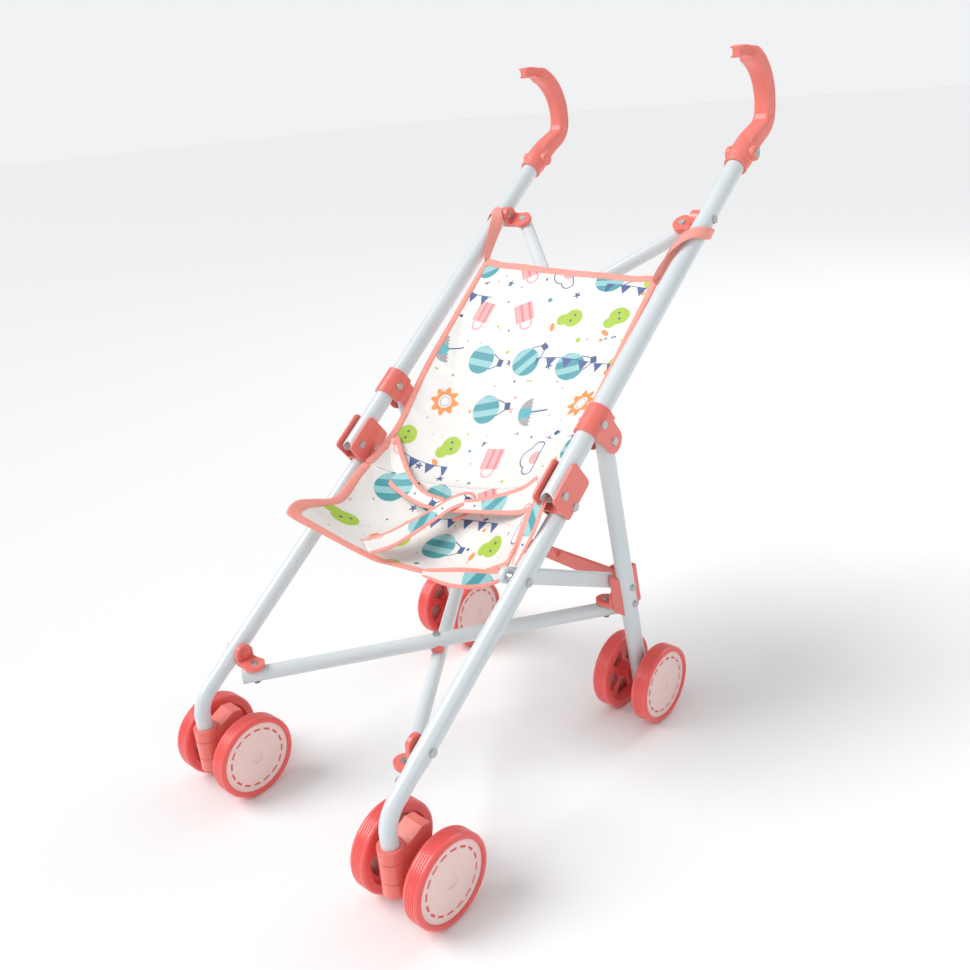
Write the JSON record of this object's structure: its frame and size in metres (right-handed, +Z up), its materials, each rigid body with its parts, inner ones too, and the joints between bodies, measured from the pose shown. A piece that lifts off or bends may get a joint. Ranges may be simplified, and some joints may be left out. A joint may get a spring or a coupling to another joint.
{
  "type": "doll stroller",
  "caption": "Folding toy doll stroller: hooked push handles, crossed lower bars, sling seat, twin wheels on swivelling front casters and fixed rear axles.",
  "frame": {"origin": "centre of the overall box at floor level", "axes": "+Z up, the stroller faces -Y, its pusher stands at +Y, +X is the pusher's left"},
  "size_m": [0.2924, 0.5414, 0.5607],
  "materials": {
    "frame_paint": "smooth off-white powder coat",
    "coral_plastic": "moulded, satin to gloss",
    "grip_plastic": "moulded, satin",
    "wheel_plastic": "moulded, gloss",
    "cap_plastic": "moulded, pale pink",
    "steel": "zinc plated",
    "seat_cloth": "satin-faced printed polyester with coral binding"
  },
  "bodies": {
    "left_frame": {"left_handle_tube": "frame_paint", "left_grip": "grip_plastic", "left_handle_clip": "coral_plastic", "left_back_knuckle": "coral_plastic", "left_handle_fasteners": "steel", "seat_back": "seat_cloth"},
    "left_front_leg_body": {"left_front_leg": "frame_paint", "left_knee_bracket": "coral_plastic", "left_front_leg_rivets": "steel", "seat_pan": "seat_cloth"},
    "left_rear_leg_body": {"left_rear_leg": "frame_paint", "left_rear_bracket": "coral_plastic", "left_rear_fasteners": "steel"},
    "left_link_body": {"left_side_link": "frame_paint"},
    "left_rear_knuckle_body": {"left_rear_knuckle": "coral_plastic"},
    "left_front_knuckle_body": {"left_front_knuckle": "coral_plastic"},
    "left_back_bar_body": {"left_back_bar": "frame_paint", "back_brace_pin": "steel"},
    "left_brace_body": {"left_brace_arm": "coral_plastic"},
    "left_caster_body": {"left_caster": "coral_plastic", "left_axle": "steel"},
    "left_front_outer_roller": {"left_front_outer_wheel": "wheel_plastic", "left_front_outer_cap": "cap_plastic"},
    "left_front_inner_roller": {"left_front_inner_wheel": "wheel_plastic", "left_front_inner_cap": "cap_plastic"},
    "left_rear_outer_roller": {"left_rear_outer_wheel": "wheel_plastic", "left_rear_outer_cap": "cap_plastic"},
    "left_rear_inner_roller": {"left_rear_inner_wheel": "wheel_plastic", "left_rear_inner_cap": "cap_plastic"},
    "right_frame": {"right_handle_tube": "frame_paint", "right_grip": "grip_plastic", "right_handle_clip": "coral_plastic", "right_back_knuckle": "coral_plastic", "right_handle_fasteners": "steel"},
    "right_front_leg_body": {"right_front_leg": "frame_paint", "right_knee_bracket": "coral_plastic", "right_front_leg_rivets": "steel"},
    "right_rear_leg_body": {"right_rear_leg": "frame_paint", "right_rear_bracket": "coral_plastic", "right_rear_fasteners": "steel"},
    "right_link_body": {"right_side_link": "frame_paint"},
    "right_rear_knuckle_body": {"right_rear_knuckle": "coral_plastic"},
    "right_front_knuckle_body": {"right_front_knuckle": "coral_plastic"},
    "right_back_bar_body": {"right_back_bar": "frame_paint"},
    "right_brace_body": {"right_brace_arm": "coral_plastic"},
    "right_caster_body": {"right_caster": "coral_plastic", "right_axle": "steel"},
    "right_front_outer_roller": {"right_front_outer_wheel": "wheel_plastic", "right_front_outer_cap": "cap_plastic"},
    "right_front_inner_roller": {"right_front_inner_wheel": "wheel_plastic", "right_front_inner_cap": "cap_plastic"},
    "right_rear_outer_roller": {"right_rear_outer_wheel": "wheel_plastic", "right_rear_outer_cap": "cap_plastic"},
    "right_rear_inner_roller": {"right_rear_inner_wheel": "wheel_plastic", "right_rear_inner_cap": "cap_plastic"},
    "upper_bar_body": {"upper_cross_bar": "frame_paint", "upper_cross_bar_screws": "steel", "crossing_spacer": "coral_plastic"},
    "lower_bar_body": {"lower_cross_bar": "frame_paint", "lower_cross_bar_screws": "steel"}
  },
  "joints": [
    {"name": "fold", "type": "hinge", "parent": "left_frame", "child": "left_front_leg_body", "pos_m": [0.112, -0.06277, 0.252], "axis": [-1, 0, 0], "range_deg": [0, 150], "deforming": ["seat_back", "seat_pan"]},
    {"name": "right_knee", "type": "hinge", "parent": "right_frame", "child": "right_front_leg_body", "pos_m": [-0.112, -0.06277, 0.252], "axis": [-1, 0, 0], "range_deg": [-1.5, 151.5]},
    {"name": "right_side_draw_in", "type": "slide", "parent": "left_frame", "child": "right_frame", "axis": [1, 0, 0], "range_m": [-0.001, 0.13166]},
    {"name": "left_rear_leg_pivot", "type": "hinge", "parent": "left_frame", "child": "left_rear_leg_body", "pos_m": [0.112, 0.00197, 0.27429], "axis": [-1, 0, 0], "range_deg": [-1.5, 60.98]},
    {"name": "left_link_pivot", "type": "hinge", "parent": "left_rear_leg_body", "child": "left_link_body", "pos_m": [0.0968, 0.02702, 0.13502], "axis": [-1, 0, 0], "range_deg": [-1.5, 27.5]},
    {"name": "left_rear_knuckle_pivot", "type": "hinge", "parent": "left_rear_leg_body", "child": "left_rear_knuckle_body", "pos_m": [0.099, 0.03003, 0.11829], "axis": [-1, 0, 0], "range_deg": [-1.5, 55.98]},
    {"name": "upper_bar_pivot", "type": "hinge", "parent": "left_rear_knuckle_body", "child": "upper_bar_body", "pos_m": [0.088, 0.03002, 0.10279], "axis": [0, 0.0006, 1], "range_deg": [-1.5, 29.53]},
    {"name": "right_front_knuckle_pivot", "type": "hinge", "parent": "upper_bar_body", "child": "right_front_knuckle_body", "pos_m": [-0.088, -0.21666, 0.10294], "axis": [0, 0.0006, 1], "range_deg": [-29.53, 1.5]},
    {"name": "left_back_bar_pivot", "type": "hinge", "parent": "left_frame", "child": "left_back_bar_body", "pos_m": [0.088, 0.16477, 0.40711], "axis": [0, -0.606, 0.7955], "range_deg": [-1.5, 35.22]},
    {"name": "left_brace_pivot", "type": "hinge", "parent": "left_rear_leg_body", "child": "left_brace_body", "pos_m": [0.091, 0.0363, 0.12806], "axis": [0, 0.9842, 0.1771], "range_deg": [-1.5, 70.18]},
    {"name": "left_caster_swivel", "type": "hinge", "parent": "left_front_leg_body", "child": "left_caster_body", "pos_m": [0.112, -0.2584, 0.045], "axis": [0, 0, 1], "continuous": true},
    {"name": "left_front_outer_spin", "type": "hinge", "parent": "left_caster_body", "child": "left_front_outer_roller", "pos_m": [0.112, -0.2357, 0.035], "axis": [1, 0, 0], "continuous": true},
    {"name": "left_front_inner_spin", "type": "hinge", "parent": "left_caster_body", "child": "left_front_inner_roller", "pos_m": [0.112, -0.2357, 0.035], "axis": [1, 0, 0], "continuous": true},
    {"name": "left_rear_outer_spin", "type": "hinge", "parent": "left_rear_leg_body", "child": "left_rear_outer_roller", "pos_m": [0.112, 0.04502, 0.035], "axis": [1, 0, 0], "continuous": true},
    {"name": "left_rear_inner_spin", "type": "hinge", "parent": "left_rear_leg_body", "child": "left_rear_inner_roller", "pos_m": [0.112, 0.04502, 0.035], "axis": [1, 0, 0], "continuous": true},
    {"name": "right_rear_leg_pivot", "type": "hinge", "parent": "right_frame", "child": "right_rear_leg_body", "pos_m": [-0.112, 0.00197, 0.27429], "axis": [-1, 0, 0], "range_deg": [-1.5, 60.98]},
    {"name": "right_link_pivot", "type": "hinge", "parent": "right_rear_leg_body", "child": "right_link_body", "pos_m": [-0.0968, 0.02702, 0.13502], "axis": [-1, 0, 0], "range_deg": [-1.5, 27.5]},
    {"name": "right_rear_knuckle_pivot", "type": "hinge", "parent": "right_rear_leg_body", "child": "right_rear_knuckle_body", "pos_m": [-0.099, 0.03003, 0.11829], "axis": [-1, 0, 0], "range_deg": [-1.5, 55.98]},
    {"name": "lower_bar_pivot", "type": "hinge", "parent": "right_rear_knuckle_body", "child": "lower_bar_body", "pos_m": [-0.088, 0.03002, 0.08719], "axis": [0, -0.0006, -1], "range_deg": [-1.5, 29.53]},
    {"name": "left_front_knuckle_pivot", "type": "hinge", "parent": "lower_bar_body", "child": "left_front_knuckle_body", "pos_m": [0.088, -0.21667, 0.08734], "axis": [0, -0.0006, -1], "range_deg": [-29.53, 1.5]},
    {"name": "right_back_bar_pivot", "type": "hinge", "parent": "right_frame", "child": "right_back_bar_body", "pos_m": [-0.088, 0.16477, 0.40711], "axis": [0, 0.606, -0.7955], "range_deg": [-1.5, 35.22]},
    {"name": "right_brace_pivot", "type": "hinge", "parent": "right_rear_leg_body", "child": "right_brace_body", "pos_m": [-0.091, 0.0363, 0.12806], "axis": [0, -0.9842, -0.1771], "range_deg": [-1.5, 70.18]},
    {"name": "right_caster_swivel", "type": "hinge", "parent": "right_front_leg_body", "child": "right_caster_body", "pos_m": [-0.112, -0.2584, 0.045], "axis": [0, 0, 1], "continuous": true},
    {"name": "right_front_outer_spin", "type": "hinge", "parent": "right_caster_body", "child": "right_front_outer_roller", "pos_m": [-0.112, -0.2357, 0.035], "axis": [1, 0, 0], "continuous": true},
    {"name": "right_front_inner_spin", "type": "hinge", "parent": "right_caster_body", "child": "right_front_inner_roller", "pos_m": [-0.112, -0.2357, 0.035], "axis": [1, 0, 0], "continuous": true},
    {"name": "right_rear_outer_spin", "type": "hinge", "parent": "right_rear_leg_body", "child": "right_rear_outer_roller", "pos_m": [-0.112, 0.04502, 0.035], "axis": [1, 0, 0], "continuous": true},
    {"name": "right_rear_inner_spin", "type": "hinge", "parent": "right_rear_leg_body", "child": "right_rear_inner_roller", "pos_m": [-0.112, 0.04502, 0.035], "axis": [1, 0, 0], "continuous": true}
  ],
  "couplings": [
    {"joint": "right_knee", "follows": "fold", "ratio": 1},
    {"joint": "right_side_draw_in", "follows": "fold", "m_per_rad": 0.049908},
    {"joint": "left_rear_leg_pivot", "follows": "fold", "ratio": 0.39657},
    {"joint": "left_link_pivot", "follows": "fold", "ratio": 0.17332},
    {"joint": "left_rear_knuckle_pivot", "follows": "fold", "ratio": 0.36323},
    {"joint": "upper_bar_pivot", "follows": "fold", "ratio": 0.18689},
    {"joint": "right_front_knuckle_pivot", "follows": "fold", "ratio": -0.18689},
    {"joint": "left_back_bar_pivot", "follows": "fold", "ratio": 0.22482},
    {"joint": "left_brace_pivot", "follows": "fold", "ratio": 0.45786},
    {"joint": "right_rear_leg_pivot", "follows": "fold", "ratio": 0.39657},
    {"joint": "right_link_pivot", "follows": "fold", "ratio": 0.17332},
    {"joint": "right_rear_knuckle_pivot", "follows": "fold", "ratio": 0.36323},
    {"joint": "lower_bar_pivot", "follows": "fold", "ratio": 0.18689},
    {"joint": "left_front_knuckle_pivot", "follows": "fold", "ratio": -0.18689},
    {"joint": "right_back_bar_pivot", "follows": "fold", "ratio": 0.22482},
    {"joint": "right_brace_pivot", "follows": "fold", "ratio": 0.45786}
  ]
}
